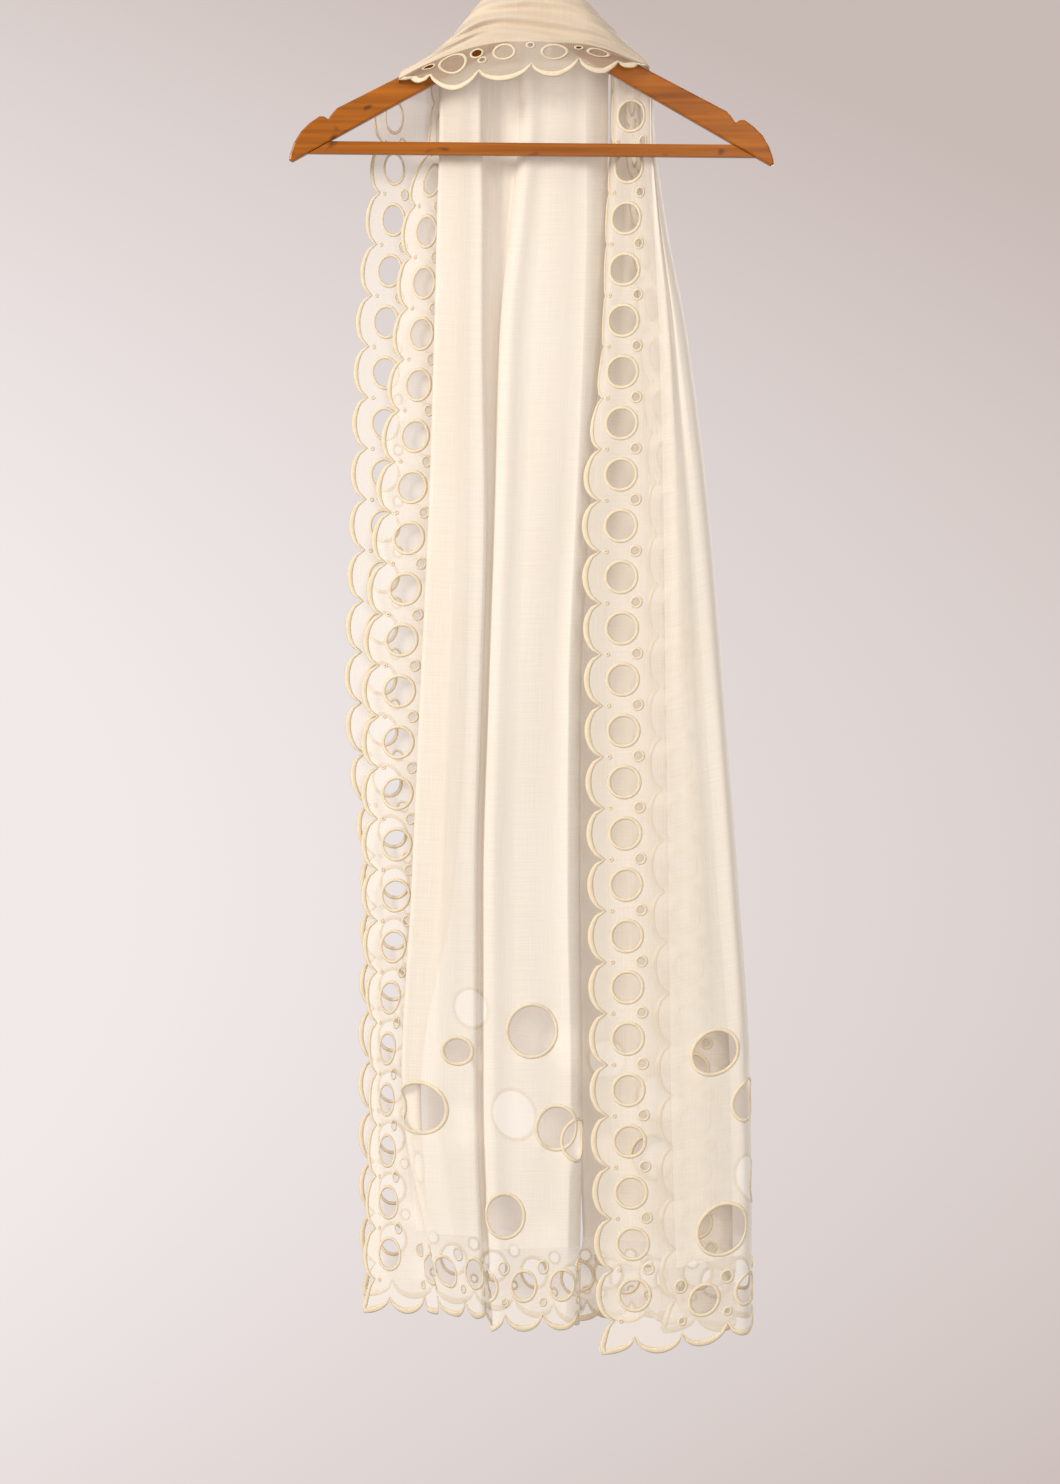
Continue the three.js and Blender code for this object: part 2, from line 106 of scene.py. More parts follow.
RIGHT_FOLDS = [
    ("front edge", 0, -1313, -DEEP, [72, 67, 63, 44, 46, 49, 51, 58],
     [27, 26, 22, 11, 9, 9, 9, 10]),
    ("front turn", 6, -1313, 5, [75, 70, 66, 64, 66, 69, 71, 78],
     [13, 12, 11, 10, 9, 9, 9, 10]),
    ("ring line", 10, -1312, 37, [105, 101, 98, 96, 98, 101, 103, 110],
     [12, 11, 10, 10, 9, 9, 9, 10]),
    ("front seam", 12, -1310, BORDER, [107, 110, 115, 119, 121, 124, 126, 133],
     [13, 12, 11, 10, 10, 10, 10, 10]),
    ("front right", 8, -1296, None, [109, 118, 139, 158, 172, 185, 195, 197],
     [15, 14, 13, 13, 13, 14, 15, 16]),
    ("side", 12, -1288, None, [112, 121, 143, 163, 177, 191, 202, 204],
     [30, 30, 31, 32, 33, 33, 34, 34]),
    ("back right", 10, -1284, None, [108, 117, 138, 157, 171, 184, 194, 196],
     [51, 53, 55, 56, 56, 57, 57, 57]),
    ("back left", 4, -1285, None, [66, 60, 50, 40, 33, 32, 32, 38],
     [50, 51, 53, 54, 54, 54, 54, 54]),
    ("inside left", 4, -1286, None, [66, 60, 50, 40, 33, 32, 32, 38],
     [46, 46, 47, 48, 48, 48, 48, 48]),
    ("inside right", 4, -1292, None, [101, 110, 130, 148, 160, 172, 184, 187],
     [43, 43, 43, 43, 43, 43, 43, 43]),
    ("inside turn", 4, -1294, None, [101, 110, 130, 148, 160, 172, 184, 187],
     [34, 34, 34, 33, 33, 33, 33, 33]),
    ("back edge", 0, -1296, WIDE + DEEP, [84, 88, 96, 104, 104, 106, 112, 116],
     [33, 33, 32, 32, 32, 32, 32, 32]),
]
# Soft creases: flat place across at the hem and at the top, width, depth (to the front
# is positive), and the heights above the hem between which they fade in and out.
LEFT_CREASES = [
    (250, 243, 9, 2.6, 180, 1300), (276, 262, 13, -2.8, 0, 900), (296, 286, 8, 2.4, 420, 1300),
    (318, 300, 11, -2.4, -20, 640), (232, 228, 8, -2.2, 0, 760), (334, 330, 6, 2.0, 300, 1200),
    (412, 404, 9, 2.4, -20, 800), (398, 392, 7, -2.0, 300, 1300), (426, 418, 8, -1.8, 0, 500),
    (262, 280, 5, 1.5, 600, 1300), (306, 318, 5, -1.5, 520, 1300), (286, 262, 5, 1.3, 0, 420),
    (120, 112, 16, 3.0, 0, 900), (160, 170, 18, -3.0, 200, 1300), (200, 206, 12, 2.6, 0, 700),
    (30, 24, 12, 1.6, 60, 600), (548, 540, 12, 1.6, 300, 1100),
]
RIGHT_CREASES = [
    (92, 82, 10, 2.0, 0, 900), (112, 98, 13, -1.9, 200, 1300), (134, 112, 11, 2.0, -20, 700),
    (76, 72, 6, 2.0, 500, 1300), (36, 30, 12, -1.4, 300, 900), (150, 128, 9, -2.2, 0, 520),
    (100, 120, 5, 1.4, 420, 1200), (250, 240, 18, 3.0, 0, 1000), (300, 310, 16, -3.0, 200, 1300),
    (350, 345, 14, 2.5, 0, 600),
]
# Large cut-out rings scattered low in the field: flat place across, height above the
# hem's cusp line, radius.
LEFT_RINGS = [
    (292, 262, 26), (268, 172, 22), (244, 160, 21), (322, 92, 22), (428, 178, 25), (396, 232, 14),
    (150, 170, 25), (104, 262, 20), (468, 120, 16),
]
RIGHT_RINGS = [
    (100, 252, 22), (132, 200, 20), (104, 88, 25), (158, 118, 23), (250, 190, 24),
    (300, 226, 20), (420, 140, 22),
]
# Sections across the swag: x, then (y, z) of the hanging cusp line, the seam, the
# belly, the ridge, the back and the tail.
SWAG = [
    (-124, (-12, -163), (-15, -157), (-14, -153), (0, -148), (36, -160), (42, -172)),
    (-100, (-20, -153), (-25, -146), (-25, -141), (-4, -138), (36, -148), (45, -160)),
    (-74, (-26, -156), (-31, -136), (-31, -126), (-6, -115.5), (30, -130), (45, -149)),
    (-46, (-30, -150), (-35, -129), (-34, -106), (-8, -83), (24, -106), (45, -142)),
    (-20, (-32, -147), (-37, -126), (-34, -94), (-9, -66), (14, -84), (42, -136)),
    (0, (-33, -145), (-38, -126), (-34, -90), (-9, -59), (12, -78), (41, -134)),
    (20, (-32, -144), (-37, -127), (-34, -93), (-9, -65), (14, -84), (42, -134)),
    (44, (-30, -140), (-35, -128), (-34, -104), (-8, -81), (26, -102), (48, -134)),
    (66, (-25, -141), (-30, -132), (-30, -117), (-6, -103), (32, -120), (50, -137)),
    (88, (-17, -142), (-21, -139), (-21, -132), (-3, -125), (40, -136), (52, -148)),
    (106, (-12, -147), (-14, -145), (-13, -143.5), (0, -139), (43, -149), (52, -160)),
]
# Long folds across the swag's face: flat height at x = -60, 0 and 60, width and depth
# (to the front is positive).
SWAG_FOLDS = [
    (100, 73, 92, 4, 3.4), (92, 67, 85, 5, -3.2), (78, 55, 60, 4.5, 3.8),
    (70, 48, 54, 5, -3.0), (114, 88, 106, 6, 2.6), (106, 81, 100, 5, -2.2),
    (60, 41, 43, 5, 2.4), (52, 46, 36, 3, -1.6), (138, 134, 138, 9, -3.0),
    (164, 160, 164, 8, 2.6),
]
SWAG_FLAT = [0, 32, 72, 110, 150, 194]  # flat heights of the six lines of a section
SWAG_CUSPS = [-143, -95.4, -50.5, -2.6, 40.9, 77.3, 112]  # along x
SWAG_DEEP = 13.5  # depth of its scallops
SWAG_TOP = SWAG_FLAT[-1] - 1
SWAG_PARTING = SWAG_FLAT[3] + 1  # behind this flat height it is parted round the hook
# Rings in the swag's hanging border: x, flat height, radius.
SWAG_RINGS = [(-74, 16, 13.5), (-96, 19, 6.5), (-52, 22, 6.5), (-27, 19, 11), (-47, 12, 4.5),
              (19, 17, 13), (59, 17, 11), (-3, 27, 4.5), (41, 24, 4.5)]
OPEN_RING = 9  # the swag's rings smaller than this are cut out


# ---------------------------------------------------------------- surfaces
def arm_top(x):
    """Height of the top of the hanger's arms: a straight line down each side."""
    return ARM_TOP - ARM_FALL * np.abs(x)


def hermite(knots, values, want):
    """Monotone cubic through (knots, values), rising knots: slopes are the harmonic mean
    of the two neighbouring slopes, and zero where they change sign."""
    h = np.diff(knots)
    d = np.diff(values) / h
    m = np.zeros_like(values)
    both = d[1:] * d[:-1] > 0
    m[1:-1][both] = 2 * d[1:][both] * d[:-1][both] / (d[1:] + d[:-1])[both]
    m[0], m[-1] = d[0], d[-1]
    k = np.clip(np.searchsorted(knots, want) - 1, 0, len(h) - 1)
    t = (want - knots[k]) / h[k]
    a, b = values[k], values[k + 1]
    smooth = (a * (1 + 2 * t) * (1 - t) ** 2 + m[k] * h[k] * t * (1 - t) ** 2
              + b * t * t * (3 - 2 * t) + m[k + 1] * h[k] * t * t * (t - 1))
    return np.where(t > 1, b + m[k + 1] * (want - knots[k + 1]),
                    np.where(t < 0, a + m[k] * (want - knots[k]), smooth))


class FallSurface:
    """Middle surface of one fall. At each level the plan path runs through the fold
    points with each corner cut back by its softness and rounded by a quadratic curve:
    p = (1-t)^2 a + 2t(1-t) c + t^2 b. Down the cloth each stop of the path follows a
    monotone cubic through its levels. Creases add -depth * exp(-((u-uc)/w)^2) to y."""

    LOW_V, HIGH_V, STEP_V = -24.0, 1260.0, 8.0

    def __init__(self, folds, creases):
        self.creases = np.array(creases, float)
        soft = [f[1] for f in folds]
        hem = np.array([f[2] for f in folds], float)
        x = np.array([f[4] for f in folds], float)
        y = np.array([f[5] for f in folds], float)
        squeezed = 10 + (y[:, 0] - 8) * 0.5  # the folds lie closer together over the arm
        plans = [np.column_stack([x[:, 0], squeezed, arm_top(x[:, 0]) - 4])]
        for k, z in enumerate(LEVELS):
            plans.append(np.column_stack([x[:, k], y[:, k], np.full(len(x), float(z))]))
        plans.append(np.column_stack([x[:, -1], y[:, -1], hem]))
        rows = [self.rounded(p, soft) for p in plans]
        grid = np.array(rows)[::-1]  # from the hem up: (level, stop, xyz)
        self.u = self.flat_places(grid, [f[3] for f in folds])
        self.hem = grid[0, :, 2]
        self.top = grid[-1, :, 2]
        self.v = np.arange(self.LOW_V, self.HIGH_V, self.STEP_V)
        self.table = np.empty((len(self.v), len(self.u), 2))
        for j in range(len(self.u)):
            z = self.hem[j] + self.v
            for c in (0, 1):
                self.table[:, j, c] = hermite(grid[:, j, 2], grid[:, j, c], z)

    def rounded(self, p, soft, steps=8, straight=3):
        """The plan path through points p: straight stretches joined by quadratic curves
        of the given steps; keeps where each fold's middle falls."""
        out, self.corner = [p[:1]], [0]
        last = p[0]
        for k in range(1, len(p) - 1):
            def cut(q):
                """Where the corner's curve begins on the way to q."""
                d = np.hypot(*(q - p[k])[:2])
                return p[k] + (q - p[k]) * min(soft[k], 0.42 * d) / max(d, 1e-6)
            a, b = cut(p[k - 1]), cut(p[k + 1])
            t = np.linspace(0, 1, steps + 1)[:, None]
            s = np.linspace(0, 1, straight + 2)[1:-1, None]
            out.append(last + (a - last) * s)
            out.append((1 - t) ** 2 * a + 2 * t * (1 - t) * p[k] + t * t * b)
            self.corner.append(sum(map(len, out)) - 1 - steps // 2)
            last = b
        s = np.linspace(0, 1, straight + 2)[1:, None]
        out.append(last + (p[-1] - last) * s)
        self.corner.append(sum(map(len, out)) - 1)
        return np.concatenate(out)

    def flat_places(self, grid, flat):
        """Flat place of each stop: the path's mean length over the low levels, shared
        out evenly between the folds whose flat places are known."""
        steps = np.hypot(*np.moveaxis(np.diff(grid[:4, :, :2], axis=1), 2, 0)).mean(0)
        run = np.concatenate([[0], np.cumsum(np.maximum(steps, 1e-3))])
        known = [(run[self.corner[k]], f) for k, f in enumerate(flat) if f is not None]
        return np.interp(run, [k[0] for k in known], [k[1] for k in known])

    def top_v(self, u):
        """Flat height of the cloth's top at each place across."""
        return np.interp(u, self.u, self.top - self.hem)

    def __call__(self, u, v):
        """Points at flat places u, v, between the table's rows and stops by proportion."""
        u, v = np.asarray(u, float), np.asarray(v, float)
        j = np.clip(np.interp(u, self.u, np.arange(len(self.u))), 0, len(self.u) - 1.001)
        i = np.clip((v - self.v[0]) / self.STEP_V, 0, len(self.v) - 1.001)
        j0, i0 = j.astype(int), i.astype(int)
        fj, fi = (j - j0)[..., None], (i - i0)[..., None]
        t = self.table
        xy = ((t[i0, j0] * (1 - fj) + t[i0, j0 + 1] * fj) * (1 - fi)
              + (t[i0 + 1, j0] * (1 - fj) + t[i0 + 1, j0 + 1] * fj) * fi)
        z = np.interp(u, self.u, self.hem) + v
        y = xy[..., 1]
        for low, high, wide, deep, start, end in self.creases:
            centre = low + (high - low) * np.clip(v / 1150, 0, 1)
            fade = np.clip((v - start) / 160, 0, 1) * np.clip((end - v) / 220, 0, 1)
            y = y - deep * np.exp(-((u - centre) / wide) ** 2) * fade * fade * (3 - 2 * fade)
        return np.stack([xy[..., 0], y, z], -1)


class SwagSurface:
    """The swag: at each x a section through six lines, both ways by monotone cubics.
    Each long fold across its face adds -depth * exp(-((w - wc) / width)^2) to y, with
    wc(x) a parabola through its three heights. Below w = 0 it hangs straight down."""

    LOW_W = -20.0
    STEP_W = 2.0

    def __init__(self):
        self.x = np.array([s[0] for s in SWAG], float)
        lines = np.array([s[1:] for s in SWAG], float)
        self.fine_x = np.linspace(self.x[0], self.x[-1], 93)
        self.fine_w = np.arange(self.LOW_W, SWAG_FLAT[-1] + 0.1, self.STEP_W)
        mid = np.empty((len(self.fine_x), 6, 2))
        for k in range(6):
            for c in (0, 1):
                mid[:, k, c] = hermite(self.x, lines[:, k, c], self.fine_x)
        self.table = np.empty((len(self.fine_x), len(self.fine_w), 2))
        flat = np.array(SWAG_FLAT, float)
        for i in range(len(self.fine_x)):
            for c in (0, 1):
                self.table[i, :, c] = hermite(flat, mid[i, :, c], self.fine_w)

    def __call__(self, a, w):
        """Points at x = a and flat height w; the folds fade out towards both ends."""
        a, below = np.asarray(a, float), np.minimum(w, 0)
        w = np.maximum(w, 0)
        i = np.clip((a - self.fine_x[0]) / (self.fine_x[1] - self.fine_x[0]), 0,
                    len(self.fine_x) - 1.001)
        j = np.clip((w - self.LOW_W) / self.STEP_W, 0, len(self.fine_w) - 1.001)
        i0, j0 = i.astype(int), j.astype(int)
        fi, fj = (i - i0)[..., None], (j - j0)[..., None]
        t = self.table
        yz = ((t[i0, j0] * (1 - fj) + t[i0, j0 + 1] * fj) * (1 - fi)
              + (t[i0 + 1, j0] * (1 - fj) + t[i0 + 1, j0 + 1] * fj) * fi)
        ends = np.clip((a + 122) / 60, 0, 1) * np.clip((104 - a) / 50, 0, 1)
        s = np.clip(a / 60, -1.6, 1.5)
        y = yz[..., 0]
        for left, middle, right, wide, deep in SWAG_FOLDS:
            centre = middle + (right - left) / 2 * s + ((left + right) / 2 - middle) * s * s
            y = y - deep * np.exp(-((w - centre) / wide) ** 2) * ends
        return np.stack([a, y, yz[..., 1] + below], -1)


def normals(surface, u, v):
    """Unit normals of a surface: the cross product of its two differences."""
    e = 0.6
    du = surface(u + e, v) - surface(u - e, v)
    dv = surface(u, v + e) - surface(u, v - e)
    n = np.cross(du, dv)
    return n / np.maximum(np.linalg.norm(n, axis=-1, keepdims=True), 1e-9)


# ---------------------------------------------------------------- meshes
def mesh_object(name, points, faces, flat=None):
    """One mesh object from points in millimetres, triangle or quad faces, and the flat
    place of each point, which becomes its UV map in metres."""
    mesh = bpy.data.meshes.new(name)
    faces = np.asarray(faces, np.int32)
    side = faces.shape[1]
    points = np.asarray(points, float).reshape(-1, 3) * MM
    mesh.vertices.add(len(points))
    mesh.vertices.foreach_set("co", points.ravel())
    mesh.loops.add(faces.size)
    mesh.loops.foreach_set("vertex_index", faces.ravel())
    mesh.polygons.add(len(faces))
    mesh.polygons.foreach_set("loop_start", np.arange(0, faces.size, side, dtype=np.int32))
    mesh.polygons.foreach_set("use_smooth", np.ones(len(faces), bool))
    mesh.update(calc_edges=True)
    mesh.validate()
    if flat is not None:
        uv = mesh.uv_layers.new(name="Flat")
        place = np.empty(len(mesh.loops), np.int32)
        mesh.loops.foreach_get("vertex_index", place)
        uv.data.foreach_set("uv", (np.asarray(flat, float).reshape(-1, 2) * MM)[place].ravel())
    obj = bpy.data.objects.new(name, mesh)
    bpy.context.scene.collection.objects.link(obj)
    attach(obj, "root")
    return obj


def bow(t):
    """One rounded scallop for each whole step of t: the square root of a half sine."""
    return np.sqrt(np.maximum(0, np.sin(np.pi * (t - np.floor(t)))))


def flat_tiles(outline, holes, inside, columns, step):
    """Triangles of a flat piece: the outline and the hole loops are kept as edges, and a
    grid of the given columns, step apart along them, fills it. inside(u, v, margin)
    says which places are cloth, at least margin from every edge."""
    loops = [outline] + holes
    points = np.concatenate(loops)
    starts = np.cumsum([0] + [len(loop) for loop in loops])
    edges = []
    for a, loop in zip(starts, loops):
        k = np.arange(len(loop))
        edges.append(np.column_stack([a + k, a + (k + 1) % len(loop)]))
    low, high = outline[:, 1].min(), outline[:, 1].max()
    across, up = np.meshgrid(columns, np.arange(low + step / 2, high, step))
    grid = np.column_stack([across.ravel(), up.ravel()])
    keep = inside(grid[:, 0], grid[:, 1], 1.6)
    points = np.concatenate([points, grid[keep]])
    verts, _, faces, *_ = delaunay_2d_cdt([Vector(p) for p in points.tolist()],
                                          np.concatenate(edges).tolist(), [], 1, 1e-4)
    verts = np.array(verts)
    tris = np.array([f for f in faces if len(f) == 3], int).reshape(-1, 3)
    centre = verts[tris].mean(1)
    tris = tris[inside(centre[:, 0], centre[:, 1], 0.0)]
    if not len(tris):
        raise RuntimeError("the flat piece has no cloth")
    used, tris = np.unique(tris, return_inverse=True)
    return verts[used], tris.reshape(-1, 3)


def fall_columns(stops, step):
    """Flat places of the grid's columns: the fold lines' stops, no closer than 1.1 mm,
    with the wider gaps between them filled evenly."""
    keep = [-DEEP + 3.0]
    for place in np.append(stops, WIDE + DEEP - 3.0):
        gap = place - keep[-1]
        if gap > 1.1:
            parts = int(np.ceil(gap / step))
            keep.extend(keep[-1] + gap * (k + 1) / parts for k in range(parts))
    return np.array(keep)


def circle(u, v, r, count):
    """A circle of points: (u + r cos t, v + r sin t)."""
    t = np.linspace(0, 2 * np.pi, count, endpoint=False)
    return np.column_stack([u + r * np.cos(t), v + r * np.sin(t)])


def rings_at(u, v, r):
    """Rows (u, v, radius); u or v may be one number for them all."""
    u, v = np.broadcast_arrays(u, v)
    return np.column_stack([u, v, np.full(len(u), r)])


def outside(holes, u, v, margin):
    """Which places lie outside every hole, with a margin."""
    ok = np.ones(np.shape(u), bool)
    for hu, hv, r in holes:
        ok &= np.hypot(u - hu, v - hv) > r + margin
    return ok


def side_pattern(v_top, mirror):
    """Rings down a long edge: (u, v, outer radius) of the big rings at each scallop, the
    small rings and the eyelets at each cusp, up to the height v_top."""
    n = np.arange(0, int((v_top - SIDE_RING_R - 2 - CORNER_UP) / PITCH + 0.5))
    cusps = CORNER_UP + PITCH * n
    rings = np.concatenate([rings_at(SIDE_RING, cusps + PITCH / 2, SIDE_RING_R),
                            rings_at(34.5, cusps[1:], 5.8), rings_at(7.4, cusps, 2.3)])
    if mirror:
        rings[:, 0] = WIDE - rings[:, 0]
    return rings


def hem_pattern():
    """Rings along the hem: one over each scallop but the first and last, and two small
    ones over each cusp between."""
    cusps = FIRST_CUSP + HEM_PITCH * np.arange(1, 12)
    return np.concatenate([rings_at(cusps[:-1] + HEM_PITCH / 2, 27.0, 15.6),
                           rings_at(cusps, 44.0, 6.8), rings_at(cusps, 12.0, 4.6)])


def side_reach(v):
    """How far a long edge reaches past its cusp line at height v: a bow over each
    scallop, and a square-root curve round the corner below the first cusp."""
    low = np.sqrt(np.clip((CORNER_UP - v) / (CORNER_UP + CORNER_DROP), 0, 1))
    return DEEP * np.where(v < CORNER_UP, low, bow((v - CORNER_UP) / PITCH))


def hem_reach(u):
    """How far the hem hangs below its cusp line at place u: a bow for each scallop, and
    a quarter of an ellipse round each corner."""
    near = np.minimum(u + CORNER_OUT, WIDE + CORNER_OUT - u)
    away = np.clip(near / (FIRST_CUSP + CORNER_OUT), 0, 1)
    corner = (u < FIRST_CUSP) | (u > WIDE - FIRST_CUSP + 0.01)
    return DEEP * np.where(corner, np.sqrt(1 - away ** 2), bow((u - FIRST_CUSP) / HEM_PITCH))


def fall_outline(surface):
    """The cut edge of a fall, anticlockwise from the lower left corner: the hem's
    scallops, the long edges' scallops and the plain top."""
    count = 14  # steps along each scallop
    far = WIDE - FIRST_CUSP
    u = np.concatenate([[-CORNER_OUT], np.linspace(FIRST_CUSP - 24, FIRST_CUSP, 10)[:-1],
                        FIRST_CUSP + HEM_PITCH * np.arange(0, 12 * count) / count,
                        np.linspace(far, far + 24, 10), [WIDE + CORNER_OUT]])

    def side(v_end):
        """Reach and height at each step up a long edge."""
        v = np.concatenate([np.linspace(-10, CORNER_UP, 8)[:-1],
                            CORNER_UP + PITCH * np.arange(0, 26 * count) / count])
        v = v[v < v_end - 1]
        return side_reach(v), v

    right, right_v = side(float(surface.top_v(WIDE)))
    left, left_v = side(float(surface.top_v(0.0)))
    lid = np.linspace(WIDE, 0, 120)
    return np.concatenate([np.column_stack([u, -hem_reach(u)]),
                           np.column_stack([WIDE + right, right_v]),
                           np.column_stack([lid, surface.top_v(lid)]),
                           np.column_stack([-left, left_v])[::-1]])


def edge_inside(surface, holes):
    """inside(u, v, margin) for a fall: between its scalloped edges, below its top and
    outside every hole."""
    def inside(u, v, margin):
        side = side_reach(v)
        return ((u > -side + margin) & (u < WIDE + side - margin)
                & (v > -hem_reach(u) + margin) & (v < surface.top_v(u) - margin)
                & outside(holes, u, v, margin))
    return inside


def thread_band(surface, centre_u, centre_v, out_u, out_v, half_wide, high, closed):
    """A raised band of satin stitches: a flat path (centre) with its outward direction
    (out) and half width; the section is a lens of six points, height high at its
    middle on both faces. Arrays are (band, step)."""
    ang = np.deg2rad([0, 55, 125, 180, 235, 305])
    across, up = np.cos(ang), np.sin(ang)
    u = centre_u[..., None] + out_u[..., None] * half_wide[..., None] * across
    v = centre_v[..., None] + out_v[..., None] * half_wide[..., None] * across
    p = surface(u, v) + normals(surface, u, v) * (up * high)[..., None]
    bands, steps, six = u.shape
    index = np.arange(bands * steps * six).reshape(bands, steps, six)
    nxt = np.roll(index, -1, 1) if closed else index[:, 1:]
    here = index if closed else index[:, :-1]
    quads = np.stack([here, np.roll(here, -1, 2), np.roll(nxt, -1, 2), nxt], -1)
    run = np.cumsum(np.hypot(np.diff(centre_u, axis=1, prepend=centre_u[:, :1]),
                             np.diff(centre_v, axis=1, prepend=centre_v[:, :1])), 1)
    flat = np.stack([np.broadcast_to(run[..., None], u.shape),
                     np.broadcast_to(across * 2.0, u.shape)], -1)
    return p.reshape(-1, 3), quads.reshape(-1, 4), flat.reshape(-1, 2)


def ring_bands(surface, rings, wide, around):
    """Bands round rings (u, v, outer radius), each the given number of steps around."""
    t = np.linspace(0, 2 * np.pi, around, endpoint=False)
    r = rings[:, 2:3] - wide / 2
    c, s = np.cos(t)[None], np.sin(t)[None]
    ones = np.ones_like(r * c)
    return thread_band(surface, rings[:, 0:1] + r * c, rings[:, 1:2] + r * s,
                       c * ones, s * ones, ones * wide / 2, RING_HIGH, True)


def edge_band(surface, path, wide):
    """Band along an open flat path; wide gives its width at each step, laid inwards."""
    d = np.gradient(path, axis=0)
    d /= np.maximum(np.linalg.norm(d, axis=1, keepdims=True), 1e-9)
    out = np.column_stack([d[:, 1], -d[:, 0]])
    mid = path - out * wide[:, None] / 2
    return thread_band(surface, mid[None, :, 0], mid[None, :, 1], out[None, :, 0],
                       out[None, :, 1], wide[None] / 2, EDGE_HIGH, False)


def scalloped_width(phase, least, more):
    """Width of the edge's stitching: least at the cusps, least + more in the middle of a
    scallop, by |sin(pi phase)| to the power 0.7."""
    return least + more * np.abs(np.sin(np.pi * phase)) ** 0.7


def joined(name, parts):
    """One mesh of several bands, each given as points, faces and flat places."""
    points, faces, flats, base = [], [], [], 0
    for p, f, t in parts:
        points.append(p)
        faces.append(f + base)
        flats.append(t)
        base += len(p)
    return mesh_object(name, np.concatenate(points), np.concatenate(faces),
                       np.concatenate(flats))


# ---------------------------------------------------------------- materials
def group_tree(name, inputs, outputs):
    """A shader node group with its input and output sockets."""
    tree = bpy.data.node_groups.new(name, "ShaderNodeTree")
    for kind, label, default in inputs:
        sock = tree.interface.new_socket(name=label, in_out="INPUT", socket_type=kind)
        if default is not None:
            sock.default_value = default
    for kind, label in outputs:
        tree.interface.new_socket(name=label, in_out="OUTPUT", socket_type=kind)
    return tree, tree.nodes.new("NodeGroupInput"), tree.nodes.new("NodeGroupOutput")


def math_node(tree, op, a, b=None, clamp=False):
    """A math node of two numbers or sockets."""
    n = tree.nodes.new("ShaderNodeMath")
    n.operation, n.use_clamp = op, clamp
    for k, val in enumerate((a, b)):
        if val is None:
            continue
        if isinstance(val, (int, float)):
            n.inputs[k].default_value = val
        else:
            tree.links.new(val, n.inputs[k])
    return n.outputs[0]


def mix_colour(tree, fac, a, b):
    """A colour from a to b by the factor; each may be a value or a socket."""
    n = tree.nodes.new("ShaderNodeMix")
    n.data_type = "RGBA"
    for k, val in ((0, fac), (6, a), (7, b)):
        if isinstance(val, (int, float, tuple)):
            n.inputs[k].default_value = val
        else:
            tree.links.new(val, n.inputs[k])
    return n.outputs[2]


def noise(tree, vector, scale, detail):
    """Soft noise over a vector."""
    n = tree.nodes.new("ShaderNodeTexNoise")
    n.inputs["Scale"].default_value = scale
    n.inputs["Detail"].default_value = detail
    tree.links.new(vector, n.inputs["Vector"])
    return n.outputs[0]


def scaled(tree, vector, by):
    """A vector stretched by a factor on each axis."""
    n = tree.nodes.new("ShaderNodeMapping")
    n.inputs["Scale"].default_value = by
    tree.links.new(vector, n.inputs["Vector"])
    return n.outputs[0]


def organza_group():
    """Cover and colour of a sheer plain weave: fine threads both ways, slubs, soft
    clouding. Seam Distance is in metres, above zero in the closer field and below zero
    in the sheer border; a fine seam line runs where it is zero."""
    tree, gi, go = group_tree("Sheer Weave", [
        ("NodeSocketVector", "Flat", None), ("NodeSocketFloat", "Seam Distance", 1.0),
        ("NodeSocketFloat", "Border Cover", 0.35), ("NodeSocketFloat", "Field Cover", 0.5),
        ("NodeSocketColor", "Tint", (0.9, 0.8, 0.7, 1)),
        ("NodeSocketColor", "Deep", (0.8, 0.7, 0.6, 1)),
    ], [("NodeSocketColor", "Colour"), ("NodeSocketFloat", "Alpha"), ("NodeSocketFloat", "Height")])
    flat = gi.outputs["Flat"]
    warp = noise(tree, scaled(tree, flat, (2600, 22, 1)), 1.0, 2)
    weft = noise(tree, scaled(tree, flat, (22, 2600, 1)), 1.0, 2)
    cloud = noise(tree, flat, 9.0, 3)
    threads = math_node(tree, "ADD", warp, weft)
    grain = math_node(tree, "MULTIPLY", math_node(tree, "SUBTRACT", threads, 1.0), 0.22)
    soft = math_node(tree, "MULTIPLY", math_node(tree, "SUBTRACT", cloud, 0.5), 0.12)
    gain = math_node(tree, "SUBTRACT", gi.outputs["Field Cover"], gi.outputs["Border Cover"])
    away = gi.outputs["Seam Distance"]
    dense = math_node(tree, "ADD", math_node(tree, "MULTIPLY", away, 900.0), 0.5, True)
    cover = math_node(tree, "ADD", gi.outputs["Border Cover"],
                      math_node(tree, "MULTIPLY", gain, dense))
    near = math_node(tree, "MULTIPLY", math_node(tree, "ABSOLUTE", away), 1100.0, True)
    seam = math_node(tree, "MULTIPLY", math_node(tree, "SUBTRACT", 1.0, near), 0.8)
    alpha = math_node(tree, "ADD", math_node(tree, "ADD", cover, grain), soft, True)
    alpha = math_node(tree, "MAXIMUM", alpha, seam)
    tree.links.new(alpha, go.inputs["Alpha"])
    tree.links.new(mix_colour(tree, cloud, gi.outputs["Tint"], gi.outputs["Deep"]),
                   go.inputs["Colour"])
    tree.links.new(threads, go.inputs["Height"])
    return tree


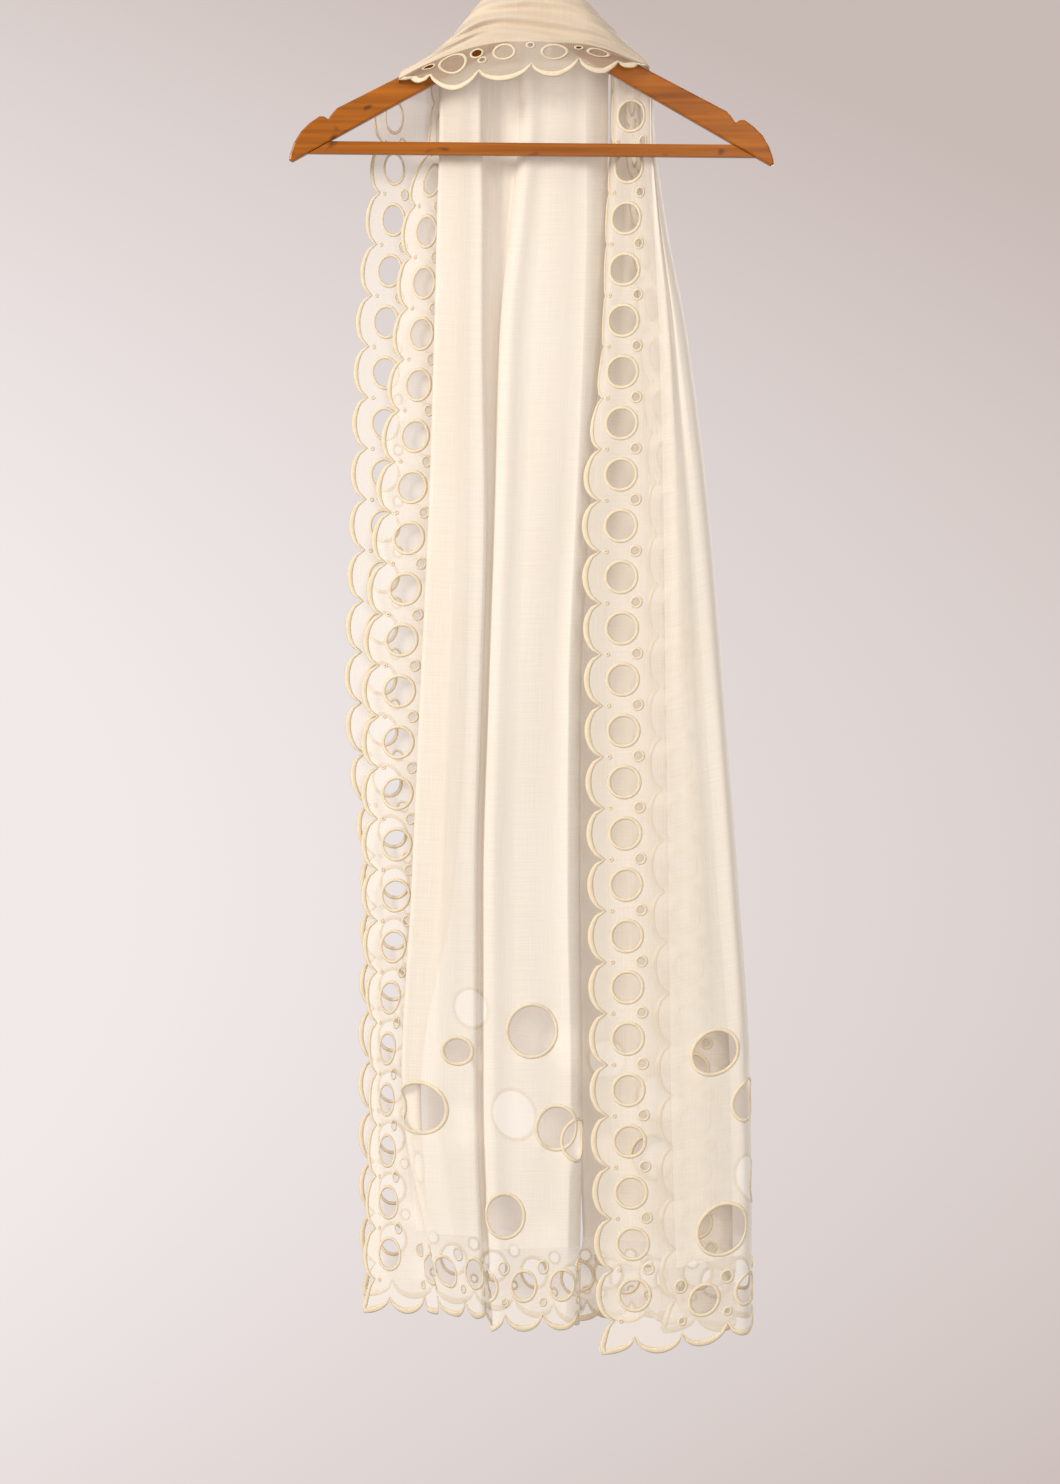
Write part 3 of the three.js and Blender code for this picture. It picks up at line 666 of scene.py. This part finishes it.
def stitch_group():
    """Satin stitch: close threads across the band, slightly uneven in colour; Deep is the painted
    shade in the gaps between the stitches and Tint their painted lit side.
    """
    tree, gi, go = group_tree("Satin Stitch", [
        ("NodeSocketVector", "Flat", None), ("NodeSocketColor", "Tint", (0.9, 0.8, 0.6, 1)),
        ("NodeSocketColor", "Deep", (0.8, 0.65, 0.4, 1)),
    ], [("NodeSocketColor", "Colour"), ("NodeSocketFloat", "Height")])
    wave = tree.nodes.new("ShaderNodeTexWave")
    wave.inputs["Scale"].default_value = 520
    wave.inputs["Distortion"].default_value = 1.5
    tree.links.new(gi.outputs["Flat"], wave.inputs["Vector"])
    uneven = noise(tree, gi.outputs["Flat"], 160.0, 2)
    # the wave's stripes mix the painted shade of the gaps with the painted lit side of the stitches
    fac = math_node(tree, "ADD", wave.outputs[1], uneven)
    fac = math_node(tree, "MULTIPLY", fac, 0.42, True)
    tree.links.new(mix_colour(tree, fac, gi.outputs["Deep"], gi.outputs["Tint"]),
                   go.inputs["Colour"])
    tree.links.new(wave.outputs[1], go.inputs["Height"])
    return tree


def wood_group():
    """Varnished wood: rings stretched along the board, pores and a few knots."""
    tree, gi, go = group_tree("Varnished Grain", [
        ("NodeSocketVector", "Place", None), ("NodeSocketColor", "Light", (0.6, 0.3, 0.1, 1)),
        ("NodeSocketColor", "Dark", (0.3, 0.12, 0.04, 1)),
    ], [("NodeSocketColor", "Colour"), ("NodeSocketFloat", "Roughness"),
        ("NodeSocketFloat", "Height")])
    place = gi.outputs["Place"]
    grain = noise(tree, scaled(tree, place, (7, 120, 260)), 1.0, 5)
    broad = noise(tree, scaled(tree, place, (5, 20, 26)), 1.0, 2)
    pores = noise(tree, scaled(tree, place, (90, 700, 900)), 1.0, 2)
    knots = noise(tree, scaled(tree, place, (46, 60, 70)), 1.0, 1)
    fac = math_node(tree, "ADD", math_node(tree, "MULTIPLY", grain, 0.7),
                    math_node(tree, "MULTIPLY", broad, 0.5))
    knot = math_node(tree, "MULTIPLY", math_node(tree, "SUBTRACT", knots, 0.68), 7.0, True)
    dark = math_node(tree, "SUBTRACT", math_node(tree, "MULTIPLY", fac, 1.5), 0.45, True)
    dark = math_node(tree, "ADD", dark, knot, True)
    tree.links.new(mix_colour(tree, dark, gi.outputs["Light"], gi.outputs["Dark"]),
                   go.inputs["Colour"])
    rough = math_node(tree, "ADD", math_node(tree, "MULTIPLY", pores, 0.18), 0.24)
    tree.links.new(rough, go.inputs["Roughness"])
    tree.links.new(math_node(tree, "ADD", grain, pores), go.inputs["Height"])
    return tree


def principled(name):
    """A new material with its tree and its surface shader."""
    mat = bpy.data.materials.new(name)
    mat.use_nodes = True
    tree = mat.node_tree
    return mat, tree, next(n for n in tree.nodes if n.type == "BSDF_PRINCIPLED")


def use_group(tree, group, coords, values):
    """A group placed in a material with its own values, its first socket fed by coords."""
    node = tree.nodes.new("ShaderNodeGroup")
    node.node_tree = group
    for label, val in values.items():
        node.inputs[label].default_value = val
    tree.links.new(coords, node.inputs[0])
    return node


def bump(tree, height, shader, strength, distance):
    """A bump from a height, fed to the shader's normal."""
    n = tree.nodes.new("ShaderNodeBump")
    n.inputs["Strength"].default_value = strength
    n.inputs["Distance"].default_value = distance
    tree.links.new(height, n.inputs["Height"])
    tree.links.new(n.outputs[0], shader.inputs["Normal"])


def flat_coords(tree):
    """The place on the flat piece, in metres."""
    n = tree.nodes.new("ShaderNodeUVMap")
    n.uv_map = "Flat"
    return n.outputs[0]


def seam_distance(tree, edges):
    """Distance into the field from the nearest seam of the flat piece, in metres: the
    least of sign * (place - at) over edges of (axis, sign, at)."""
    split = tree.nodes.new("ShaderNodeSeparateXYZ")
    tree.links.new(flat_coords(tree), split.inputs[0])
    nearest = None
    for axis, sign, at in edges:
        d = math_node(tree, "MULTIPLY", math_node(tree, "SUBTRACT", split.outputs[axis], at), sign)
        nearest = d if nearest is None else math_node(tree, "MINIMUM", nearest, d)
    return nearest


def organza_material(name, border, field, tint, deep, seams):
    """Sheer organza: more open in the border than in the field, with its seams."""
    mat, tree, shader = principled(name)
    g = use_group(tree, groups()["weave"], flat_coords(tree),
                  {"Border Cover": border, "Field Cover": field, "Tint": tint, "Deep": deep})
    tree.links.new(seam_distance(tree, seams), g.inputs["Seam Distance"])
    tree.links.new(g.outputs["Colour"], shader.inputs["Base Color"])
    tree.links.new(g.outputs["Alpha"], shader.inputs["Alpha"])
    bump(tree, g.outputs["Height"], shader, 0.25, 0.0002)
    shader.inputs["Roughness"].default_value = 0.55
    shader.inputs["Sheen Weight"].default_value = 0.35
    shader.inputs["Sheen Roughness"].default_value = 0.4
    shader.inputs["Specular IOR Level"].default_value = 0.25
    return mat


def groups():
    """The shared shader groups, made once."""
    have = bpy.data.node_groups
    if "Sheer Weave" not in have:
        organza_group()
        stitch_group()
        wood_group()
    return {"weave": have["Sheer Weave"], "stitch": have["Satin Stitch"],
            "wood": have["Varnished Grain"]}


def thread_material():
    """Satin-stitch thread for the rings and edges, made once."""
    have = bpy.data.materials.get("Stitch_Thread")
    if have:
        return have
    props = bpy.context.scene.stole
    mat, tree, shader = principled("Stitch_Thread")
    # Tint is the thread's painted lit side and Deep the painted shade in the gaps between the
    # stitches
    g = use_group(tree, groups()["stitch"], flat_coords(tree),
                  {"Tint": solid(props.thread_lit_colour), "Deep": solid(props.thread_painted_shade)})
    tree.links.new(g.outputs["Colour"], shader.inputs["Base Color"])
    bump(tree, g.outputs["Height"], shader, 0.5, 0.0003)
    shader.inputs["Roughness"].default_value = 0.42
    shader.inputs["Sheen Weight"].default_value = 0.3
    return mat


def cloth_material():
    """The falls' organza, with seams along both borders and over the hem, made once."""
    props = bpy.context.scene.stole
    seams = [(0, 1, BORDER * MM), (0, -1, (WIDE - BORDER) * MM), (1, 1, HEM_BORDER * MM)]
    return bpy.data.materials.get("Sheer_Organza") or organza_material(
        "Sheer_Organza", props.border_cover, props.field_cover, solid(props.cloth_colour),
        solid(props.cloth_shade), seams)


def swag_material():
    """The swag's gathered organza: closer and deeper in colour, with one seam."""
    props = bpy.context.scene.stole
    return organza_material("Gathered_Organza", 0.42, 0.86, solid(props.swag_colour),
                            solid(props.swag_shade), [(1, 1, SWAG_FLAT[1] * MM)])


def wood_material():
    """Varnished wood for the yoke and the bar."""
    props = bpy.context.scene.stole
    mat, tree, shader = principled("Varnished_Wood")
    coords = tree.nodes.new("ShaderNodeTexCoord")
    g = use_group(tree, groups()["wood"], coords.outputs["Object"],
                  {"Light": solid(props.wood_colour), "Dark": solid(props.wood_shade)})
    tree.links.new(g.outputs["Colour"], shader.inputs["Base Color"])
    tree.links.new(g.outputs["Roughness"], shader.inputs["Roughness"])
    bump(tree, g.outputs["Height"], shader, 0.2, 0.0003)
    shader.inputs["Specular IOR Level"].default_value = 0.18
    shader.inputs["Coat Weight"].default_value = 0.1
    shader.inputs["Coat Roughness"].default_value = 0.15
    return mat


def steel_material():
    """Plain bright steel for the hook."""
    mat, _, shader = principled("Hook_Steel")
    shader.inputs["Base Color"].default_value = (0.62, 0.62, 0.63, 1)
    shader.inputs["Metallic"].default_value = 1
    shader.inputs["Roughness"].default_value = 0.25
    return mat


def put_on(obj, mat):
    """Give an object one material all over."""
    if not obj.material_slots:
        obj.data.materials.append(mat)
    for s in obj.material_slots:
        s.material = mat


def solid(colour):
    """A colour setting as an opaque RGBA value."""
    return (*colour, 1.0)


# ---------------------------------------------------------------- operators
def paint(name, words, colour):
    """A colour setting."""
    return FloatVectorProperty(name=name, description=words, default=colour, size=3,
                               min=0.0, max=1.0, subtype="COLOR")


class StoleSettings(bpy.types.PropertyGroup):
    """Sizes and colours a user may change."""

    border_cover: FloatProperty(name="Border cover", description="Thread cover of the border",
                                default=0.5, min=0.1, max=1.0, subtype="FACTOR")
    field_cover: FloatProperty(name="Field cover", description="Thread cover of the field",
                               default=0.68, min=0.1, max=1.0, subtype="FACTOR")
    tile: FloatProperty(name="Tile", description="Width of the cloth's triangles",
                        default=0.0075, min=0.004, max=0.03, unit="LENGTH")
    around: IntProperty(name="Ring steps", description="Steps around each stitched ring",
                        default=36, min=12, max=96)
    cloth_colour: paint("Cloth", "Organza of the falls", (0.91, 0.83, 0.73))
    cloth_shade: paint("Cloth shade", "Its deeper clouding", (0.85, 0.75, 0.62))
    swag_colour: paint("Swag", "Gathered organza of the swag", (0.76, 0.63, 0.48))
    swag_shade: paint("Swag shade", "Its deeper clouding", (0.67, 0.53, 0.38))
    # Thread: the stitches' colour on their painted lit side; thread shade: painted shade in the
    # gaps between the stitches
    thread_lit_colour: paint("Thread", "Lit side of the stitches", (0.98, 0.89, 0.71))
    thread_painted_shade: paint("Thread shade", "Gaps between the stitches", (0.69, 0.50, 0.27))
    wood_colour: paint("Wood", "Light grain of the hanger", (0.49, 0.14, 0.005))
    wood_shade: paint("Wood shade", "Dark grain of the hanger", (0.13, 0.032, 0.002))


def long_edges(surface, outline):
    """The part of a fall's outline that is stitched, from the top of one long edge down,
    along the hem and up the other, with the scallop phase at each step."""
    path = outline[:-1]
    lid = np.abs(path[:, 1] - surface.top_v(path[:, 0])) < 2
    first, last = np.argmax(lid), len(lid) - np.argmax(lid[::-1])
    run = np.concatenate([path[last:], path[:first]])
    u, v = run.T
    on_side = np.minimum(u, WIDE - u) < 0.5
    return run, np.where(on_side, (v - CORNER_UP) / PITCH, (u - FIRST_CUSP) / HEM_PITCH)


def build_fall(side, folds, creases, scattered, replaces):
    """Cut one fall flat with its scallops and holes, lay it on its folds and stitch it."""
    props = bpy.context.scene.stole
    surface = FallSurface(folds, creases)
    ring_top = surface.top_v(np.array([SIDE_RING, WIDE - SIDE_RING]))
    rings = np.concatenate([side_pattern(ring_top[0], False), side_pattern(ring_top[1], True),
                            hem_pattern()])
    scattered = np.array(scattered, float)
    holes = np.concatenate([rings, scattered]) - (0, 0, HOLE_INSET)
    loops = [circle(u, v, r, 32 if r > 8 else 14) for u, v, r in holes]
    outline = fall_outline(surface)
    size = props.tile / MM
    verts, tris = flat_tiles(outline, loops, edge_inside(surface, holes),
                             fall_columns(surface.u, size * 0.7), size * 1.5)
    points = surface(verts[:, 0], verts[:, 1])
    cloth = mesh_object(side + "_fall", points, tris[:, ::-1], verts)
    cloth.data.materials.append(cloth_material())
    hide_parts(*replaces)
    r = rings[:, 2]
    run, phase = long_edges(surface, outline)
    bands = [ring_bands(surface, rings[r > 10], BIG_BAND, props.around),
             ring_bands(surface, rings[(r <= 10) & (r > 3)], SMALL_BAND, 20),
             ring_bands(surface, rings[r <= 3], EYE_BAND, 12),
             ring_bands(surface, scattered, FIELD_BAND, props.around),
             edge_band(surface, run, scalloped_width(phase, 2.6, 3.0))]
    stitches = joined(side + "_fall_stitching", bands)
    stitches.data.materials.append(thread_material())


def swag_phase(a):
    """Scallop phase along the swag: whole numbers at its cusps."""
    return np.interp(a, SWAG_CUSPS, np.arange(len(SWAG_CUSPS)))


def swag_foot(a):
    """The swag's lower edge: scallops that fade out towards its ends, where the edge
    rises by a square so that the ends taper onto the arms."""
    x0, x1 = SWAG[0][0], SWAG[-1][0]
    fade = np.clip((a - x0) / 26, 0, 1) * np.clip((x1 - a) / 40, 0, 1)
    end = np.clip(1 - (a - x0) / 20, 0, 1) + np.clip(1 - (x1 - a) / 16, 0, 1)
    return -SWAG_DEEP * bow(swag_phase(a)) * fade + 24 * end ** 2


def swag_inside(holes):
    """inside(u, v, margin) for the swag: above its foot, between its ends, outside its
    holes and not in the parting round the hook."""
    x0, x1 = SWAG[0][0], SWAG[-1][0]

    def inside(u, v, margin):
        behind = v - SWAG_PARTING
        parting = (behind > 0) & (np.abs(u) < 7 + 0.1 * behind + margin)
        return ((u > x0 + margin) & (u < x1 - margin) & (v > swag_foot(u) + margin)
                & (v < SWAG_TOP - margin) & ~parting & outside(holes, u, v, margin))
    return inside


def build_swag():
    """Cut the swag flat, lay it over the neck and stitch it."""
    surface = SwagSurface()
    x0, x1 = SWAG[0][0], SWAG[-1][0]
    rings = np.array(SWAG_RINGS, float)
    big = rings[:, 2] > OPEN_RING
    holes = rings[~big] - (0, 0, 1.6)
    a = np.linspace(x0, x1, 160)
    foot = np.column_stack([a, swag_foot(a)])
    top = np.column_stack([np.linspace(x1, x0, 80), np.full(80, float(SWAG_TOP))])
    verts, tris = flat_tiles(np.concatenate([foot, top]),
                             [circle(u, v, r, 30) for u, v, r in holes], swag_inside(holes),
                             np.arange(x0 + 2, x1, 4.2), 3.2)
    cloth = mesh_object("Swag", surface(*verts.T), tris[:, ::-1], verts)
    cloth.data.materials.append(swag_material())
    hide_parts("swag_front", "swag_front_border", "swag_left_shoulder",
                "swag_right_shoulder")
    width = scalloped_width(swag_phase(a), 2.4, 3.2)
    bands = [ring_bands(surface, rings[big], 2.9, 40), ring_bands(surface, rings[~big], 2.1, 20),
             edge_band(surface, foot, width)]
    stitches = joined("Swag_stitching", bands)
    stitches.data.materials.append(thread_material())


class OBJECT_OT_left_fall(bpy.types.Operator):
    """Build the stole's left end: two borders, three panels and the hem."""
    bl_idname = "object.stole_left_fall"
    bl_label = "Left Fall"

    def execute(self, context):
        build_fall("Left", LEFT_FOLDS, LEFT_CREASES, LEFT_RINGS,
                   ["left_field", "left_border_outer", "left_border_inner", "left_hem_border"])
        return {"FINISHED"}


class OBJECT_OT_right_fall(bpy.types.Operator):
    """Build the stole's right end, with its border folded to the front."""
    bl_idname = "object.stole_right_fall"
    bl_label = "Right Fall"

    def execute(self, context):
        build_fall("Right", RIGHT_FOLDS, RIGHT_CREASES, RIGHT_RINGS,
                   ["right_field", "right_border_front", "right_hem_border"])
        return {"FINISHED"}


class OBJECT_OT_swag(bpy.types.Operator):
    """Build the swag across the hanger's neck and its two shoulders."""
    bl_idname = "object.stole_swag"
    bl_label = "Swag"

    def execute(self, context):
        build_swag()
        return {"FINISHED"}


class OBJECT_OT_hanger_finish(bpy.types.Operator):
    """Give the wooden hanger its varnish and the hook its steel."""
    bl_idname = "object.stole_hanger_finish"
    bl_label = "Hanger Finish"

    def execute(self, context):
        wood = wood_material()
        for node in ("hanger_yoke", "hanger_bar"):
            put_on(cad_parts[node], wood)
        put_on(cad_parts["hook"], steel_material())
        return {"FINISHED"}


# ---------------------------------------------------------------- stage
LAMPS = [  # name, place, size, watts, colour
    ("Key", (-3.4, -2.5, 0.7), 1.1, 160, (1, 0.98, 0.94)),
    ("Fill", (1.4, -3.8, 0.6), 2.6, 58, (1, 0.98, 0.97)),
    ("Back", (1.6, 3.6, 0.4), 2.4, 60, (1, 0.98, 0.96)),
]
MIDDLE = Vector((0, 0, -0.7))  # what the lamps point at


def backdrop(world):
    """A pale backdrop, brightest at the left and paling to the top and the right: the
    factor is 0.733 - 2.97 x - 1.25 z - 21.9 z^2 of the viewing direction. The light it
    gives is plain grey."""
    tree = world.node_tree
    back = next(n for n in tree.nodes if n.type == "BACKGROUND")
    way = tree.nodes.new("ShaderNodeTexCoord").outputs["Generated"]
    turn = tree.nodes.new("ShaderNodeVectorMath")
    turn.operation = "DOT_PRODUCT"
    turn.inputs[1].default_value = (-2.97, 0, -1.25)
    tree.links.new(way, turn.inputs[0])
    split = tree.nodes.new("ShaderNodeSeparateXYZ")
    tree.links.new(way, split.inputs[0])
    bent = math_node(tree, "MULTIPLY", split.outputs[2], split.outputs[2])
    bent = math_node(tree, "MULTIPLY", math_node(tree, "MINIMUM", bent, 0.03), -21.9)
    fac = math_node(tree, "ADD", turn.outputs["Value"], bent)
    fac = math_node(tree, "ADD", fac, 0.733, True)
    seen = mix_colour(tree, fac, (0.578, 0.491, 0.462, 1), (0.88, 0.823, 0.815, 1))
    path = tree.nodes.new("ShaderNodeLightPath")
    colour = mix_colour(tree, path.outputs["Is Camera Ray"], (0.52, 0.51, 0.51, 1), seen)
    tree.links.new(colour, back.inputs["Color"])
    back.inputs["Strength"].default_value = 1.0


class OBJECT_OT_stole_stage(bpy.types.Operator):
    """Set the plain pale studio: backdrop, lights and camera."""
    bl_idname = "object.stole_stage"
    bl_label = "Stage"

    def execute(self, context):
        scene = context.scene
        scene.world = bpy.data.worlds.new("Studio")
        scene.world.use_nodes = True
        backdrop(scene.world)
        for name, place, size, power, colour in LAMPS:
            lamp = bpy.data.lights.new(name, "AREA")
            lamp.size, lamp.energy, lamp.color = size, power, colour
            obj = bpy.data.objects.new(name, lamp)
            obj.location = place
            obj.rotation_euler = (MIDDLE - Vector(place)).to_track_quat("-Z", "Y").to_euler()
            scene.collection.objects.link(obj)
        cam = bpy.data.cameras.new("Camera")
        cam.lens = 118.9
        cam.dof.use_dof = False
        obj = bpy.data.objects.new("Camera", cam)
        obj.location = (-0.0035, -4.5, -0.764)
        obj.rotation_euler = (math.pi / 2, 0, 0)
        scene.collection.objects.link(obj)
        scene.camera = obj
        scene.cycles.transparent_max_bounces = 32
        scene.view_settings.view_transform = "Standard"
        return {"FINISHED"}


class VIEW3D_PT_stole(bpy.types.Panel):
    """Settings and steps of the stole."""
    bl_label = "Stole"
    bl_idname = "VIEW3D_PT_stole"
    bl_space_type = "VIEW_3D"
    bl_region_type = "UI"
    bl_category = "Stole"

    def draw(self, context):
        for name in StoleSettings.__annotations__:
            self.layout.prop(context.scene.stole, name)
        for cls in OPERATORS:
            self.layout.operator(cls.bl_idname)


OPERATORS = (OBJECT_OT_hanger_finish, OBJECT_OT_left_fall, OBJECT_OT_right_fall,
             OBJECT_OT_swag, OBJECT_OT_stole_stage)
CLASSES = (StoleSettings,) + OPERATORS + (VIEW3D_PT_stole,)


def register():
    for cls in CLASSES:
        bpy.utils.register_class(cls)
    bpy.types.Scene.stole = PointerProperty(type=StoleSettings)


def unregister():
    del bpy.types.Scene.stole
    for cls in reversed(CLASSES):
        bpy.utils.unregister_class(cls)


def main():
    register()
    bpy.ops.object.stole_hanger_finish()
    bpy.ops.object.stole_left_fall()
    bpy.ops.object.stole_right_fall()
    bpy.ops.object.stole_swag()
    bpy.ops.object.stole_stage()


if __name__ == "__main__":
    main()
